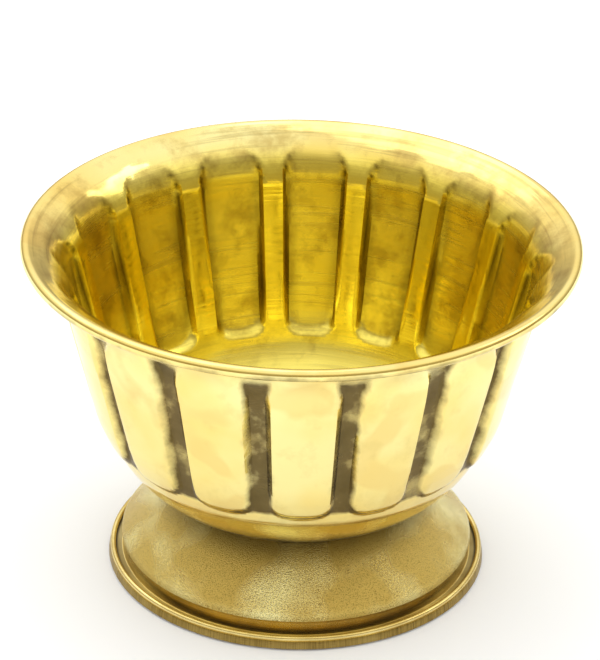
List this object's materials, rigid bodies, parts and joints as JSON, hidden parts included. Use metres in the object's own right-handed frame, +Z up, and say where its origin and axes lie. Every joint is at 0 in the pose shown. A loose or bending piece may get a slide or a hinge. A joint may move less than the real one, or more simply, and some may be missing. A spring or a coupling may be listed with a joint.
{
  "type": "offering bowl",
  "caption": "Fluted brass offering bowl with a flared lip, a rounded bottom and a low satin foot on a turned base ring",
  "frame": {"origin": "on the axis, on the plane that the base ring stands on", "axes": "+Z up along the bowl's axis, +X through a groove between two lobes"},
  "size_m": [0.076, 0.076, 0.0491],
  "materials": {
    "polished_brass": "polished, with dark patina in the grooves",
    "satin_brass": "satin, finely grained",
    "solder": "rough brazing solder"
  },
  "bodies": {
    "root": {"bowl_shell": "polished_brass", "foot_dome": "satin_brass", "base_ring": "polished_brass", "neck_solder": "solder", "base_solder": "solder"}
  },
  "joints": []
}
